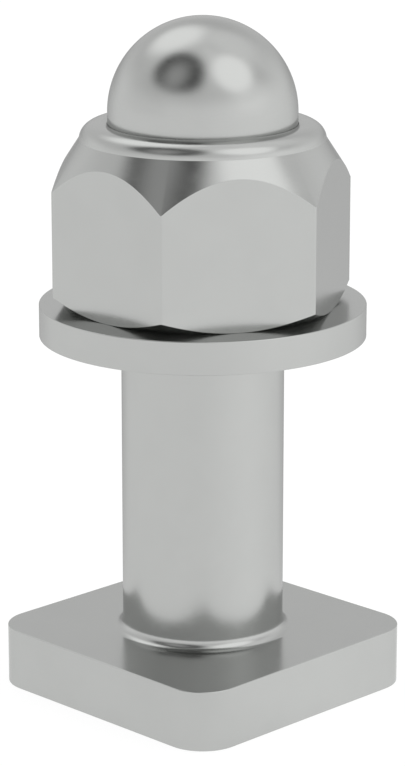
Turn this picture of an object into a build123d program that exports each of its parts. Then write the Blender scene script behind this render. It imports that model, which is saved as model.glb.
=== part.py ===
from build123d import *

import os
from math import cos, radians, sin, tan

# T slot bolt, M8 x 25, with a flat washer and a domed self-locking nut screwed down on it. The
# square head slides along a T slot, the plain shank stands in the slot's mouth, and the nut
# clamps on the washer. Sizes are in millimetres. The shank's axis is Z, the head's sides lie
# along X and Y, and the head's underside is at z = 0.

# Bolt
thread_diameter = 8.0
thread_depth = 0.77
bolt_length = 25.0
head_overhang = 3.5
head_thickness = 3.0
head_corner_radius = 2.0
shank_fillet = 0.5

# Flat washer
washer_diameter = 16.0
washer_thickness = 1.6
washer_play = 0.2

# Hexagon of the nut: metal between thread and flats, and the turned bevel under it
nut_wall = 2.5
bearing_inset = 0.1
bevel_angle = 30.0
countersink = 0.4
thread_play = 0.05

# Inside of the nut, from its bearing face upwards
threaded_height = 5.9
ring_height = 1.55
flange_reach = 0.5
seat_play = 0.02

# Collar of the nut: the cone above the hexagon, and the lip rolled in over the cap's flange
collar_wall = 0.875
cone_angle = 33.0
shoulder_over_flange = 0.19
lip_lean = 5.4
lip_crown_inset = 0.545
lip_crown_rise = 0.695
lip_edge_rise = 0.715
lip_relief = 0.3

# Domed cap, pressed from sheet
cap_wall = 0.5
cap_play = 0.1
cap_bend_radius = 0.2
tip_past_ring = 0.95
dome_over_tip = 1.0

# Radii about the shank's axis, and the square head's side
thread_radius = thread_diameter / 2
head_width = 2 * (thread_radius + head_overhang)
nut_bore_radius = thread_radius + thread_play
cap_inner_radius = thread_radius + cap_play
cap_radius = cap_inner_radius + cap_wall
ring_radius = cap_radius + flange_reach
recess_radius = ring_radius + seat_play
shoulder_radius = ring_radius + collar_wall
flat_radius = thread_radius + nut_wall
corner_radius = flat_radius / cos(radians(30))
bearing_radius = flat_radius - bearing_inset

# Heights
bolt_tip = head_thickness + bolt_length
tip_over_nut_base = threaded_height + ring_height + tip_past_ring
nut_base = bolt_tip - tip_over_nut_base
washer_base = nut_base - washer_thickness
recess_floor = nut_base + threaded_height
flange_base = recess_floor + ring_height
flange_top = flange_base + cap_wall
shoulder = flange_top + shoulder_over_flange
lip_crown = shoulder + lip_crown_rise
lip_edge = shoulder + lip_edge_rise
dome_centre = bolt_tip + dome_over_tip

os.makedirs("parts", exist_ok=True)


# T slot bolt: rounded square head and shank, in one piece
with BuildPart() as t_slot_bolt:
    with BuildSketch():
        RectangleRounded(head_width, head_width, head_corner_radius)
    extrude(amount=head_thickness)
    with BuildSketch(Plane.XY.offset(head_thickness)):
        Circle(thread_radius)
    extrude(amount=bolt_length)
    tip_rim = t_slot_bolt.edges().sort_by(Axis.Z)[-1]
    chamfer(tip_rim, thread_depth)
    on_head = t_slot_bolt.edges().filter_by_position(Axis.Z, head_thickness, head_thickness)
    shank_root = on_head.filter_by(GeomType.CIRCLE).sort_by(SortBy.LENGTH)[-1]
    fillet(shank_root, shank_fillet)


# Flat washer, loose on the shank and carried under the nut
with BuildPart() as flat_washer:
    with BuildSketch(Plane.XY.offset(washer_base)):
        Circle(washer_diameter / 2)
        Circle(thread_radius + washer_play, mode=Mode.SUBTRACT)
    extrude(amount=washer_thickness)


# Nut body: a hexagonal bar turned to the bevel, cone and lip, and bored for the thread,
# with the recess that holds the locking ring and the cap's flange under the lip
reach = 1.1 * corner_radius
bevel_rise = (reach - bearing_radius) * tan(radians(bevel_angle))
cone_drop = (reach - shoulder_radius) / tan(radians(cone_angle))
lip_start = (-sin(radians(lip_lean)), cos(radians(lip_lean)))

with BuildPart() as nut_body:
    with BuildSketch(Plane.XY.offset(nut_base)):
        RegularPolygon(flat_radius, 6, major_radius=False)
    extrude(amount=shoulder + shoulder_radius - nut_base)
    with BuildSketch(Plane.XZ):
        with BuildLine():
            outside = Polyline(
                (nut_bore_radius + countersink, nut_base),
                (bearing_radius, nut_base),
                (reach, nut_base + bevel_rise),
                (reach, shoulder - cone_drop),
                (shoulder_radius, shoulder),
            )
            lip_side = TangentArc(
                outside @ 1,
                (shoulder_radius - lip_crown_inset, lip_crown),
                tangent=lip_start,
            )
            lip_top = TangentArc(
                lip_side @ 1,
                (cap_radius + seat_play, lip_edge),
                tangent=lip_side % 1,
            )
            Polyline(
                lip_top @ 1,
                (cap_radius + seat_play, flange_top + lip_relief),
                (cap_radius + seat_play + lip_relief, flange_top),
                (recess_radius, flange_top),
                (recess_radius, recess_floor),
                (nut_bore_radius, recess_floor),
                (nut_bore_radius, nut_base + countersink),
                outside @ 0,
            )
        make_face()
    revolve(axis=Axis.Z, mode=Mode.INTERSECT)


# Locking ring: nylon, squeezed into the recess between its floor and the cap's flange
with BuildPart() as locking_ring:
    with BuildSketch(Plane.XY.offset(recess_floor)):
        Circle(ring_radius)
        Circle(nut_bore_radius, mode=Mode.SUBTRACT)
    extrude(amount=ring_height)


# Domed cap: one skin of sheet, flange, bend, straight wall and half round top
with BuildPart() as dome_cap:
    with BuildSketch(Plane.XZ):
        with BuildLine():
            foot = FilletPolyline(
                (ring_radius, flange_top),
                (cap_radius, flange_top),
                (cap_radius, dome_centre),
                radius=cap_bend_radius,
            )
            dome = CenterArc((0, dome_centre), cap_radius, 0, 90)
            inner_dome = CenterArc((0, dome_centre), cap_inner_radius, 0, 90)
            inner_foot = FilletPolyline(
                (cap_inner_radius, dome_centre),
                (cap_inner_radius, flange_base),
                (ring_radius, flange_base),
                radius=cap_bend_radius + cap_wall,
            )
            Line(foot @ 0, inner_foot @ 1)
            Line(dome @ 1, inner_dome @ 1)
        make_face()
    revolve(axis=Axis.Z)


t_slot_bolt.part.label = "t_slot_bolt"
export_step(t_slot_bolt.part, "parts/t_slot_bolt.step")

flat_washer.part.label = "flat_washer"
export_step(flat_washer.part, "parts/flat_washer.step")

nut_body.part.label = "nut_body"
export_step(nut_body.part, "parts/nut_body.step")

locking_ring.part.label = "locking_ring"
export_step(locking_ring.part, "parts/locking_ring.step")

dome_cap.part.label = "dome_cap"
export_step(dome_cap.part, "parts/dome_cap.step")
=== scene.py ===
from math import atan, atan2, cos, degrees, floor, hypot, pi, radians, sin, sqrt, tan

import bmesh
import bpy
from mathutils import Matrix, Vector


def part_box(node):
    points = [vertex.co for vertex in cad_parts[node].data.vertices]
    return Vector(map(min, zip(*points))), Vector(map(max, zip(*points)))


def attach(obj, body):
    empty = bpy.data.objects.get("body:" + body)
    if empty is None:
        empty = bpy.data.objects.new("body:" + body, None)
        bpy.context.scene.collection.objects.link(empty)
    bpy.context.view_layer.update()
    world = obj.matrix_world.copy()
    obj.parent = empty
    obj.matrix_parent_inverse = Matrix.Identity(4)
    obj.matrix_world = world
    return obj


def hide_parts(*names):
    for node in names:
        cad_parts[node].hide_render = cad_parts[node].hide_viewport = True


# The finish of a T slot bolt with its washer and its domed locking nut. The pieces are measured in
# millimetres here and turned into metres where a mesh is written.
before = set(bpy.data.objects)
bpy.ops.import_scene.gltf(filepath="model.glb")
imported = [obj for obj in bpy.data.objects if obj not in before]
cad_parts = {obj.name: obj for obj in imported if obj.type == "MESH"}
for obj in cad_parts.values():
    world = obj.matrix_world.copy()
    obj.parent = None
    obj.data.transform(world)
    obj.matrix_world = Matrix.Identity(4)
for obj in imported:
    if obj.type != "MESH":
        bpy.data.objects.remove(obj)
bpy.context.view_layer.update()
MM = 0.001


def level(node, end):
    """Height in millimetres of a node's lowest (0) or highest (1) point."""
    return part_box(node)[end].z / MM


# Heights, from the frame
head_base = level("t_slot_bolt", 0)
bolt_tip = level("t_slot_bolt", 1)
washer_base = level("flat_washer", 0)
washer_top = level("flat_washer", 1)
nut_base = level("nut_body", 0)
recess_floor = level("locking_ring", 0)
flange_base = level("locking_ring", 1)
dome_top = level("dome_cap", 1)

# Bolt
shank_radius = 4.0
head_half = 7.5
head_top = head_base + 3.0
head_corner = 2.0
shank_fillet = 0.5
thread_pitch = 1.25
thread_root = 3.233
thread_root_edge = 3.27
crest_share = 0.125
flank_share = 0.354
run_out_start = washer_base + 0.2
run_out_length = 1.4

# Radii of the fans that close the bolt's two flat ends
head_fan = 2.4
tip_fan = thread_root / 2

# Washer
washer_radius = 8.0
washer_bore = 4.2
washer_lower_break = 0.02

# Nut
flat_radius = 6.5
hexagon_corner = 0.12
bearing_radius = 6.49
bevel_angle = 33.0
countersink_radius = 4.45
countersink_top = nut_base + 0.4
thread_crest_in_nut = 3.324
thread_gap = 0.05
recess_radius = 5.12
flange_top = flange_base + 0.5
shoulder = flange_top + 0.19
shoulder_radius = 5.975
cone_angle = 33.0
lip_lean = 5.4
lip_crown = (5.43, shoulder + 0.695)
lip_edge = (4.62, shoulder + 0.715)
lip_relief = 0.3

# Cap and ring
cap_radius = 4.6
cap_inner = 4.1
cap_bend = 0.2
flange_radius = 5.1
ring_bore = 4.05
dome_centre = dome_top - cap_radius

# Sharp edges are broken by this much
break_radius = 0.05

# Steps of the meshes: in roundings, in the lip and the dome, and round the axis
EDGE_STEPS = 4
BEND_STEPS = 6
INNER_BEND_STEPS = 8
LIP_SIDE_STEPS = 14
LIP_TOP_STEPS = 8
DOME_STEPS = 58
SIDE_STEPS = 36
HEAD_CORNER_STEPS = 16
HEXAGON_CORNER_STEPS = 6
TURNED_STEPS = 216
RING_STEPS = 144

# The dome's arc keeps this many degrees away from its foot and its pole
DOME_MARGIN = 1.5

# Welding of a mesh, in metres, and the angle in degrees from which an edge is sharp
WELD_DISTANCE = 2e-7
SHORTEST_EDGE = 1e-8
SHARP_ANGLE = 25


def spread(start, end, steps):
    """Evenly spaced values from start up to but not including end."""
    return [start + (end - start) * k / steps for k in range(steps)]


def rounded(points, steps=EDGE_STEPS):
    """A profile in (radius, height) with its corners rounded.

    Each point is (r, z) or (r, z, rounding).
    """
    out = []
    for k, point in enumerate(points):
        r, z = point[:2]
        rounding = point[2] if len(point) > 2 else 0.0
        if not rounding:
            out.append((r, z))
            continue
        corner = Vector((r, z))
        back = Vector(points[k - 1][:2]) - corner
        on = Vector(points[(k + 1) % len(points)][:2]) - corner
        half = back.angle(on) / 2
        tangent = rounding / tan(half)
        inwards = (back.normalized() + on.normalized()).normalized()
        middle = corner + inwards * rounding / sin(half)
        start = corner + back.normalized() * tangent - middle
        turn = start.angle_signed(corner + on.normalized() * tangent - middle)
        begin = atan2(start.y, start.x)
        for s in range(steps + 1):
            a = begin - turn * s / steps
            out.append((middle.x + rounding * cos(a), middle.y + rounding * sin(a)))
    return out


def arc(centre_r, centre_z, radius, start, end, steps):
    """Profile points along an arc, angles in degrees."""
    turns = [radians(start + (end - start) * k / steps) for k in range(steps + 1)]
    return [(centre_r + radius * cos(a), centre_z + radius * sin(a)) for a in turns]


def around(angles, profile_at):
    """Rings of points: profile_at(angle) gives the profile in the half plane at that angle."""
    columns = [profile_at(a) for a in angles]
    return [
        [(r * cos(a), r * sin(a), z) for a, (r, z) in zip(angles, ring)]
        for ring in zip(*columns)
    ]


def add_rings(bm, rings, shift=0, loop=False):
    """Faces between rings of points.

    With a shift, the last column joins the first one that many rows on.
    """
    verts = [[bm.verts.new([c * MM for c in point]) for point in ring] for ring in rings]
    count = len(rings[0])
    last = len(rings) if loop else len(rings) - 1
    for row in range(last):
        for column in range(count):
            on, up = (column + 1) % count, (row + 1) % len(rings)
            lift = shift if on == 0 else 0
            if row + 1 + lift >= len(rings) and not loop:
                continue
            bm.faces.new((verts[row][column], verts[(row + lift) % len(rings)][on],
                          verts[(up + lift) % len(rings)][on], verts[up][column]))
    return verts


def add_pole(bm, ring, height):
    """Closes a ring of vertices with a fan to the axis."""
    pole = bm.verts.new((0, 0, height * MM))
    for column, vert in enumerate(ring):
        bm.faces.new((vert, ring[(column + 1) % len(ring)], pole))


def finish_mesh(name, bm, body, node, material):
    """Welds the mesh, marks its edges and puts it in the place of a node."""
    bmesh.ops.remove_doubles(bm, verts=bm.verts, dist=WELD_DISTANCE)
    bmesh.ops.dissolve_degenerate(bm, edges=bm.edges, dist=SHORTEST_EDGE)
    bmesh.ops.recalc_face_normals(bm, faces=bm.faces)
    for face in bm.faces:
        face.smooth = True
    for edge in bm.edges:
        edge.smooth = edge.calc_face_angle(0) < radians(SHARP_ANGLE)
    mesh = bpy.data.meshes.new(name)
    bm.to_mesh(mesh)
    bm.free()
    piece = bpy.data.objects.new(name, mesh)
    bpy.context.scene.collection.objects.link(piece)
    weighted = piece.modifiers.new("even_faces", "WEIGHTED_NORMAL")
    weighted.mode = "FACE_AREA"
    weighted.weight = 100
    weighted.keep_sharp = True
    mesh.materials.append(material)
    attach(piece, body)
    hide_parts(node)
    return piece


# Thread: a right-hand ridge of 60 degrees, in rows that climb with the helix
ROWS = (
    (0.0, shank_radius),
    (crest_share, shank_radius),
    (crest_share + flank_share, thread_root_edge),
    ((1 + crest_share) / 2, thread_root),
    (1 - flank_share, thread_root_edge),
    (1.0, shank_radius),
)

# A height this close under a full turn, as a share of it, starts the next turn
ROW_TOLERANCE = 1e-7


def thread_radius(angle, height):
    """Radius of the full thread at an angle and a height."""
    phase = (height - run_out_start) / thread_pitch - angle / (2 * pi)
    phase -= floor(phase + ROW_TOLERANCE)
    for (low, r_low), (high, r_high) in zip(ROWS, ROWS[1:]):
        if phase <= high:
            return r_low + (r_high - r_low) * max(phase - low, 0) / (high - low)
    return shank_radius


def bolt_thread(angle, height):
    """The bolt's thread: it runs out into the shank, and its tip is chamfered."""
    share = min(max((height - run_out_start) / run_out_length, 0), 1)
    cut = (shank_radius - thread_radius(angle, height)) * share * share * (3 - 2 * share)
    return min(shank_radius - cut, thread_root + bolt_tip - height)


def nut_thread(angle, height):
    """The thread in the nut, which the bolt's thread fits with a small gap."""
    return max(thread_radius(angle, height) + thread_gap, thread_crest_in_nut)


def thread_rings(angles, low, high, radius_at):
    """Rings of points that climb with the helix, held between two heights."""
    per_turn = len(ROWS) - 1
    first = floor((low - run_out_start) / thread_pitch) - 1
    turns = int((high - low) / thread_pitch) + 4
    rings = []
    for row in range(per_turn * turns):
        start = run_out_start + thread_pitch * (first + row // per_turn + ROWS[row % per_turn][0])
        ring = []
        for a in angles:
            z = min(max(start + thread_pitch * a / (2 * pi), low), high)
            r = radius_at(a, z)
            ring.append((r * cos(a), r * sin(a), z))
        rings.append(ring)
    return rings, per_turn


def square_outline(angle):
    """Distance from the axis to the rounded square's edge."""
    turn = (angle + pi / 4) % (pi / 2) - pi / 4
    inner = head_half - head_corner
    if abs(turn) <= atan(inner / head_half):
        return head_half / cos(turn)
    middle = inner * sqrt(2)
    off = pi / 4 - abs(turn)
    return middle * cos(off) + sqrt(head_corner ** 2 - (middle * sin(off)) ** 2)


def square_angles():
    """Angles that fall on the ends of the rounded square's corners."""
    edge = atan((head_half - head_corner) / head_half)
    out = []
    for quarter in range(4):
        out += [quarter * pi / 2 + a for a in spread(-edge, edge, SIDE_STEPS)]
        out += [quarter * pi / 2 + a for a in spread(edge, pi / 2 - edge, HEAD_CORNER_STEPS)]
    return out


def hexagon_outline(angle):
    """Distance from the axis to the hexagon's edge. Its corners lie at 0, 60, 120 degrees and so on."""
    turn = angle % (pi / 3) - pi / 6
    inner = flat_radius - hexagon_corner
    if abs(turn) <= atan(inner * tan(pi / 6) / flat_radius):
        return flat_radius / cos(turn)
    middle = inner / cos(pi / 6)
    off = pi / 6 - abs(turn)
    return middle * cos(off) + sqrt(max(hexagon_corner ** 2 - (middle * sin(off)) ** 2, 0))


def hexagon_angles():
    """Angles that fall on the ends of the hexagon's rounded corners."""
    edge = atan((flat_radius - hexagon_corner) * tan(pi / 6) / flat_radius)
    rounding = pi / 6 - edge
    out = []
    for side in range(6):
        corner = side * pi / 3
        out += [corner + a for a in spread(-rounding, rounding, HEXAGON_CORNER_STEPS)]
        out += [corner + pi / 6 + a for a in spread(-edge, edge, SIDE_STEPS)]
    return out


def round_angles(count=TURNED_STEPS):
    """Evenly spaced angles."""
    return spread(0, 2 * pi, count)


def make_bolt(material):
    """Square head, fillet, plain shank and threaded end in one closed mesh."""
    def head_profile(angle):
        out = square_outline(angle)
        return rounded([
            (head_fan, head_base),
            (out, head_base, break_radius),
            (out, head_top, break_radius),
            (shank_radius, head_top, shank_fillet),
            (shank_radius, run_out_start),
        ], BEND_STEPS)

    angles = square_angles()
    bm = bmesh.new()
    head = add_rings(bm, around(angles, head_profile))
    add_pole(bm, head[0], head_base)
    rings, shift = thread_rings(angles, run_out_start, bolt_tip, bolt_thread)
    add_rings(bm, rings, shift)
    tip = add_rings(bm, around(angles, lambda a: [(thread_root, bolt_tip), (tip_fan, bolt_tip)]))
    add_pole(bm, tip[-1], bolt_tip)
    return finish_mesh("bolt", bm, "bolt", "t_slot_bolt", material)


def make_washer(material):
    """Flat washer with broken edges."""
    profile = rounded([
        (washer_bore, washer_base, break_radius),
        (washer_radius, washer_base, washer_lower_break),
        (washer_radius, washer_top, break_radius),
        (washer_bore, washer_top, break_radius),
    ])
    bm = bmesh.new()
    add_rings(bm, around(round_angles(), lambda a: profile), loop=True)
    return finish_mesh("washer", bm, "washer", "flat_washer", material)


def tangent_arc(start, lean, end, steps):
    """Points after start on an arc to end, and the arc's lean at its end.

    The arc leaves start upwards and leans inwards by lean degrees there.
    """
    inwards, up = start[0] - end[0], end[1] - start[1]
    half = atan2(inwards, up) - radians(lean)
    radius = hypot(inwards, up) / (2 * sin(half))
    centre = (start[0] - radius * cos(radians(lean)), start[1] - radius * sin(radians(lean)))
    last = lean + degrees(2 * half)
    return arc(*centre, radius, lean, last, steps)[1:], last


def lip_points():
    """The rolled lip: nearly upright at the shoulder, and almost level at the cap's wall."""
    side, lean = tangent_arc((shoulder_radius, shoulder), lip_lean, lip_crown, LIP_SIDE_STEPS)
    top, _ = tangent_arc(lip_crown, lean, lip_edge, LIP_TOP_STEPS)
    return side + top


def make_nut(material):
    """Hexagon with its bevel, cone, rolled lip, recess and threaded bore."""
    lip = lip_points()

    def outside(angle):
        out = hexagon_outline(angle)
        bevel = nut_base + (out - bearing_radius) * tan(radians(bevel_angle))
        cone = shoulder - (out - shoulder_radius) / tan(radians(cone_angle))
        bevel_break = min(break_radius / 2, out - bearing_radius)
        start = rounded([
            (countersink_radius, nut_base),
            (bearing_radius, nut_base, bevel_break),
            (out, bevel, bevel_break),
            (out, cone, break_radius),
            (shoulder_radius, shoulder),
        ])
        inside = [
            (lip_edge[0], flange_top + lip_relief),
            (lip_edge[0] + lip_relief, flange_top),
            (recess_radius, flange_top),
            (recess_radius, recess_floor),
            (nut_thread(angle, recess_floor), recess_floor),
        ]
        return start + lip + inside

    angles = hexagon_angles()
    bm = bmesh.new()
    add_rings(bm, around(angles, outside))
    rings, shift = thread_rings(angles, countersink_top, recess_floor, nut_thread)
    add_rings(bm, rings, shift)
    add_rings(bm, around(angles, lambda a: [
        (nut_thread(a, countersink_top), countersink_top),
        (countersink_radius, nut_base),
    ]))
    return finish_mesh("nut", bm, "nut", "nut_body", material)


def make_cap(material):
    """Pressed cap: flange, bend, straight wall and half round dome, all of one sheet."""
    outside = rounded([
        (flange_radius, flange_base, break_radius),
        (flange_radius, flange_top, break_radius),
        (cap_radius, flange_top, cap_bend),
        (cap_radius, dome_centre),
    ], BEND_STEPS)
    dome = arc(0, dome_centre, cap_radius, DOME_MARGIN, 90 - DOME_MARGIN, DOME_STEPS)
    inner_dome = arc(0, dome_centre, cap_inner, 90 - DOME_MARGIN, DOME_MARGIN, DOME_STEPS)
    inside = rounded([
        (cap_inner, dome_centre),
        (cap_inner, flange_base, cap_bend + cap_radius - cap_inner),
        (flange_radius, flange_base),
    ], INNER_BEND_STEPS)
    angles = round_angles()
    bm = bmesh.new()
    skin = add_rings(bm, around(angles, lambda a: outside + dome))
    add_pole(bm, skin[-1], dome_centre + cap_radius)
    lining = add_rings(bm, around(angles, lambda a: inner_dome + inside[:-1]))
    add_pole(bm, lining[0], dome_centre + cap_inner)
    add_rings(bm, around(angles, lambda a: [inside[-2], outside[0]]))
    return finish_mesh("cap", bm, "nut", "dome_cap", material)


def make_ring(material):
    """Nylon locking ring."""
    profile = rounded([
        (ring_bore, recess_floor, break_radius),
        (flange_radius, recess_floor, break_radius),
        (flange_radius, flange_base, break_radius),
        (ring_bore, flange_base, break_radius),
    ])
    bm = bmesh.new()
    add_rings(bm, around(round_angles(RING_STEPS), lambda a: profile), loop=True)
    return finish_mesh("nylon_ring", bm, "nut", "locking_ring", material)


class Graph:
    """Short calls for building a node tree."""

    def __init__(self, tree):
        self.tree = tree
        tree.nodes.clear()

    def feed(self, socket, value):
        if isinstance(value, bpy.types.NodeSocket):
            self.tree.links.new(value, socket)
        else:
            socket.default_value = value

    def node(self, kind, inputs=None, **settings):
        made = self.tree.nodes.new(kind)
        for key, value in settings.items():
            setattr(made, key, value)
        for key, value in (inputs or {}).items():
            self.feed(made.inputs[key], value)
        return made

    def math(self, operation, *values):
        return self.node("ShaderNodeMath", dict(enumerate(values)), operation=operation).outputs[0]

    def vector(self, operation, *values):
        made = self.node("ShaderNodeVectorMath", dict(enumerate(values)), operation=operation)
        return made.outputs["Value" if operation in ("DOT_PRODUCT", "LENGTH") else "Vector"]

    def scaled(self, colour, factor):
        """A colour times a factor."""
        made = self.node("ShaderNodeVectorMath", {0: colour}, operation="SCALE")
        self.feed(made.inputs["Scale"], factor)
        return made.outputs["Vector"]

    def ramp(self, value, start, end, low=0.0, high=1.0):
        """low before start, high after end, and smooth between them."""
        return self.node("ShaderNodeMapRange", {0: value, 1: start, 2: end, 3: low, 4: high},
                         interpolation_type="SMOOTHSTEP").outputs[0]

    def noise(self, place, scale, detail, roughness=0.5):
        """Soft noise, mostly between 0.3 and 0.7."""
        return self.node("ShaderNodeTexNoise", {
            "Vector": place,
            "Scale": scale,
            "Detail": detail,
            "Roughness": roughness,
        }).outputs[0]

    def mix(self, share, a, b):
        """a where share is 0, and b where it is 1."""
        return self.node("ShaderNodeMix", {0: share, 2: a, 3: b}, data_type="FLOAT").outputs[0]


# The studio's bearings are in degrees: 0 is the camera's side, 90 is its right, and the camera
# stands over the corner of the head between +X and -Y
CAMERA_BEARING = -45.0


def towards(bearing, elevation):
    """Unit vector for a bearing and an elevation, in degrees."""
    a, e = radians(bearing + CAMERA_BEARING), radians(elevation)
    return (cos(e) * cos(a), cos(e) * sin(a), sin(e))


# Light level of the walls, which the floor also glows with as painted light in reflections, and its
# rise round one bearing: bearing, width, rise
WALL_LEVEL = 0.992
LIGHT_SIDE = (65, 80, 0.118)

# Drops of that level low down and far behind the bolt, which on the floor are painted shade seen only
# in reflections: the width that is even, the width where it ends, the elevation where it ends, drop
FAR_DROPS = (
    (22, 57, 28, 0.32),
    (14, 32, 5, 0.22),
)


def horizon_glow(g, direction):
    """The light level of the walls, and of the floor's painted glow in reflections, by bearing and
    elevation.
    """
    flat = g.vector("NORMALIZE", g.vector("MULTIPLY", direction, (1, 1, 0)))
    rise = g.node("ShaderNodeSeparateXYZ", {0: g.vector("NORMALIZE", direction)}).outputs[2]
    bearing, width, gain = LIGHT_SIDE
    aside = g.math("ARCCOSINE", g.vector("DOT_PRODUCT", flat, towards(bearing, 0)))
    value = g.math("ADD", g.ramp(aside, 0, radians(width), gain, 0), WALL_LEVEL)
    behind = g.math("ARCCOSINE", g.vector("DOT_PRODUCT", flat, towards(180, 0)))
    for even, end, elevation, drop in FAR_DROPS:
        far = g.ramp(behind, radians(even), radians(end), 1, 0)
        low = g.ramp(rise, 0, sin(radians(elevation)), drop, 0)
        value = g.math("SUBTRACT", value, g.math("MULTIPLY", far, low))
    return value


# Dim band over the horizon: elevations where it starts, is full, begins to fade and has faded,
# the share that stays over it, and how much darker it is
BAND = (8, 31, 33, 62, 0.55, 0.22)

# Gentle changes of the walls: bearing, elevation, radius that is even, radius where it ends,
# width to height, how it narrows upwards, and what is added
SHADES = (
    (64, 20, 6, 24, 1.7, 0, 0.08),
    (-78, 12, 6, 24, 2.1, 0, -0.075),
    (180, 54, 10, 30, 1.0, 0, -0.07),
    (127, 35, 6, 24, 1.0, 0, 0.09),
    (92, 33, 4, 15, 1.0, 0, -0.08),
    (100, 70, 6, 20, 1.0, 0, -0.12),
)

# Soft panels: bearing, elevation, radius that is even, radius where it ends, width to height,
# how it narrows upwards, and level
PANELS = (
    (55, 49.5, 17, 28, 1.0, 0, 1.33),
    (-145, 57, 12, 29, 1.0, 0, 1.32),
    (131, 61, 10, 26, 1.0, 0, 0.98),
    (-45, 54, 17.5, 30.5, 1.31, 0.38, 0.10),
    (-47, 48, 4, 26, 0.85, 0, 0.46),
)


def inside_panel(g, direction, bearing, elevation, even, end, width, narrowing):
    """1 over the even middle of a panel, 0 past its end, and smooth between them."""
    ahead = g.vector("DOT_PRODUCT", direction, towards(bearing, elevation))
    above = g.vector("DOT_PRODUCT", direction, towards(bearing, elevation + 90))
    aside = g.math("DIVIDE", g.vector("DOT_PRODUCT", direction, towards(bearing + 90, 0)),
                   g.math("MULTIPLY_ADD", above, -narrowing * width, width))
    off = g.math("ARCTAN2", g.math("SQRT", g.math("ADD", g.math("MULTIPLY", aside, aside),
                                                  g.math("MULTIPLY", above, above))), ahead)
    return g.ramp(off, radians(even), radians(end), 1, 0)


def make_world(brightness):
    """Studio all round: pale walls, a dim band over the horizon, and the panels above it."""
    world = bpy.data.worlds.new("studio")
    bpy.context.scene.world = world
    world.use_nodes = True
    g = Graph(world.node_tree)
    direction = g.vector("NORMALIZE", g.node("ShaderNodeTexCoord").outputs["Generated"])
    value = horizon_glow(g, direction)
    rise = g.node("ShaderNodeSeparateXYZ", {0: direction}).outputs[2]
    start, full, fading, faded, left, drop = BAND
    band = g.math("MULTIPLY", g.ramp(rise, sin(radians(start)), sin(radians(full))),
                  g.ramp(rise, sin(radians(fading)), sin(radians(faded)), 1, left))
    value = g.math("SUBTRACT", value, g.math("MULTIPLY", band, drop))
    for *panel, change in SHADES:
        value = g.math("ADD", value, g.math("MULTIPLY", inside_panel(g, direction, *panel), change))
    for *panel, strength in PANELS:
        value = g.mix(inside_panel(g, direction, *panel), value, strength)
    value = g.math("MULTIPLY", value, brightness)
    seen = g.node("ShaderNodeLightPath").outputs["Is Camera Ray"]
    background = g.node("ShaderNodeBackground", {"Strength": g.mix(seen, value, 1.0)})
    background.inputs["Color"].default_value = (1.0, 1.0, 1.0, 1.0)
    g.node("ShaderNodeOutputWorld", {"Surface": background.outputs[0]})


def make_floor(brightness):
    """White floor: the camera sees it white, and it keeps the bolt's soft shadow. In the metal's
    reflections it glows with painted light, lighter towards one side and darker far behind the bolt.
    """
    half = 3.0
    under = -2e-5
    mirrored_level = 1.04 * brightness
    seen_level = 1.06
    glow_share = 0.86
    matt_white = (0.92, 0.92, 0.92, 1.0)
    mesh = bpy.data.meshes.new("floor")
    corners = [(x * half, y * half, under) for x, y in ((-1, -1), (1, -1), (1, 1), (-1, 1))]
    mesh.from_pydata(corners, [], [(0, 1, 2, 3)])
    plane = bpy.data.objects.new("floor", mesh)
    bpy.context.scene.collection.objects.link(plane)
    material = bpy.data.materials.new("floor_white")
    material.use_nodes = True
    g = Graph(material.node_tree)
    place = g.node("ShaderNodeTexCoord").outputs["Object"]
    path = g.node("ShaderNodeLightPath")
    # Painted light on the floor, seen only in reflections: lighter towards one side, darker far behind
    # the bolt
    painted_glow = g.math("MULTIPLY", horizon_glow(g, place), mirrored_level)
    sharp = g.math("MAXIMUM", path.outputs["Is Glossy Ray"], path.outputs["Is Transmission Ray"])
    shown = g.math("MAXIMUM", sharp, path.outputs["Is Camera Ray"])
    light = g.node("ShaderNodeEmission", {"Strength": g.mix(sharp, seen_level, painted_glow)})
    light.inputs["Color"].default_value = (1.0, 1.0, 1.0, 1.0)
    matt = g.node("ShaderNodeBsdfDiffuse")
    matt.inputs["Color"].default_value = matt_white
    share = g.math("MULTIPLY", shown, glow_share)
    blend = g.node("ShaderNodeMixShader", {0: share, 1: matt.outputs[0], 2: light.outputs[0]})
    g.node("ShaderNodeOutputMaterial", {"Surface": blend.outputs[0]})
    mesh.materials.append(material)


# Zinc plate: its tone, its roughness on the pieces and on the polished cap, the fine marks of
# the tool with how many times longer than wide they are, and the clouds and grain between them
STEEL = (0.430, 0.437, 0.428)
ROUGHNESS = 0.21
CAP_ROUGHNESS = 0.20
MARK_SCALE = 2500.0
MARK_LENGTH = 6.0
MARK_DEPTH = 1e-6
CLOUD_SCALE = 420.0
GRAIN_SCALE = 9000.0
GRAIN_SHARE = 0.25


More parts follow.
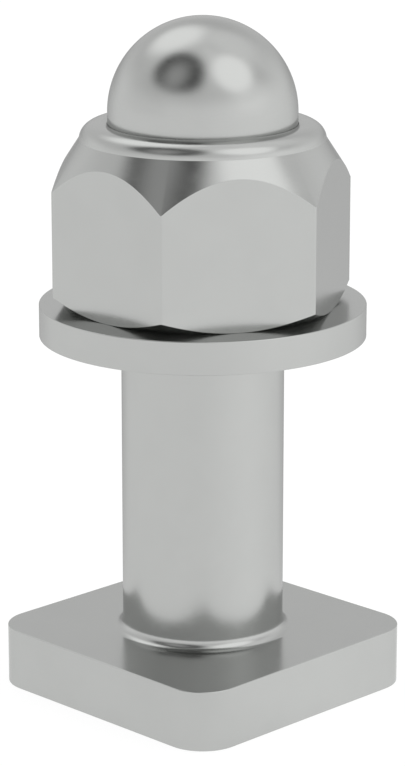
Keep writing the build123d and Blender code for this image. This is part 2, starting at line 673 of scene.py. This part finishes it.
def plated_steel(name, roughness):
    """Bright zinc plate, softly clouded, with fine marks that run round the axis."""
    material = bpy.data.materials.new(name)
    material.use_nodes = True
    g = Graph(material.node_tree)
    place = g.node("ShaderNodeTexCoord").outputs["Object"]
    x, y, z = g.node("ShaderNodeSeparateXYZ", {0: place}).outputs
    radius = g.math("SQRT", g.math("ADD", g.math("MULTIPLY", x, x), g.math("MULTIPLY", y, y)))
    lay = g.node("ShaderNodeCombineXYZ", {
        0: g.math("MULTIPLY", g.math("ARCTAN2", y, x), shank_radius * MM),
        1: g.math("MULTIPLY", z, MARK_LENGTH),
        2: g.math("MULTIPLY", radius, MARK_LENGTH),
    }).outputs[0]
    lines = g.noise(lay, MARK_SCALE, 3.0, 0.6)
    cloud = g.noise(place, CLOUD_SCALE, 3.0, 0.55)
    grain = g.noise(place, GRAIN_SCALE, 2.0)
    shade = g.math("ADD", g.ramp(cloud, 0.3, 0.7, 0.985, 1.015),
                   g.ramp(lines, 0.3, 0.7, -0.008, 0.008))
    gloss = g.math("ADD", g.ramp(cloud, 0.3, 0.75, roughness - 0.02, roughness + 0.03),
                   g.ramp(lines, 0.35, 0.7, -0.01, 0.015))
    height = g.math("ADD", lines, g.math("MULTIPLY", grain, GRAIN_SHARE))
    bump = g.node("ShaderNodeBump", {"Height": height, "Strength": 0.35, "Distance": MARK_DEPTH})
    shader = g.node("ShaderNodeBsdfPrincipled", {
        "Base Color": g.scaled(STEEL, shade),
        "Metallic": 1.0,
        "Roughness": gloss,
        "Normal": bump.outputs[0],
    })
    shader.inputs["Specular Tint"].default_value = (0.8, 0.8, 0.8, 1.0)
    g.node("ShaderNodeOutputMaterial", {"Surface": shader.outputs[0]})
    return material


# Natural nylon
NYLON = (0.82, 0.80, 0.72)
NYLON_CLOUD_SCALE = 600.0
NYLON_BUMP = 0.02 * MM


def nylon(name):
    """Natural nylon, slightly clouded and satin."""
    material = bpy.data.materials.new(name)
    material.use_nodes = True
    g = Graph(material.node_tree)
    place = g.node("ShaderNodeTexCoord").outputs["Object"]
    cloud = g.noise(place, NYLON_CLOUD_SCALE, 4.0)
    bump = g.node("ShaderNodeBump", {"Height": cloud, "Strength": 0.2, "Distance": NYLON_BUMP})
    shader = g.node("ShaderNodeBsdfPrincipled", {
        "Base Color": g.scaled(NYLON, g.ramp(cloud, 0.3, 0.7, 0.95, 1.03)),
        "Roughness": g.ramp(cloud, 0.3, 0.7, 0.38, 0.48),
        "Normal": bump.outputs[0],
    })
    shader.inputs["Subsurface Weight"].default_value = 0.15
    shader.inputs["Subsurface Radius"].default_value = (0.0008, 0.0007, 0.0006)
    g.node("ShaderNodeOutputMaterial", {"Surface": shader.outputs[0]})
    return material


def make_camera():
    """The photograph's view: over the head's corner, slightly from above."""
    distance = 145.70
    height = 55.217
    aim_height = 15.47
    aim_left = 0.0094
    data = bpy.data.cameras.new("camera")
    data.lens = 144.28
    data.sensor_width = 36.0
    data.clip_start = 0.001
    camera = bpy.data.objects.new("camera", data)
    x, y, _ = towards(0, 0)
    camera.location = Vector((distance * x, distance * y, height)) * MM
    look = Vector((-aim_left, -aim_left, aim_height)) * MM - camera.location
    camera.rotation_euler = look.to_track_quat("-Z", "Y").to_euler()
    bpy.context.scene.collection.objects.link(camera)
    bpy.context.scene.camera = camera


BRIGHTNESS = 1.165

make_camera()
make_world(BRIGHTNESS)
make_floor(BRIGHTNESS)
make_bolt(plated_steel("bolt_zinc", ROUGHNESS))
make_washer(plated_steel("washer_zinc", ROUGHNESS))
make_nut(plated_steel("nut_zinc", ROUGHNESS))
make_cap(plated_steel("cap_zinc", CAP_ROUGHNESS))
make_ring(nylon("ring_nylon"))

bpy.context.scene.view_settings.view_transform = "Standard"
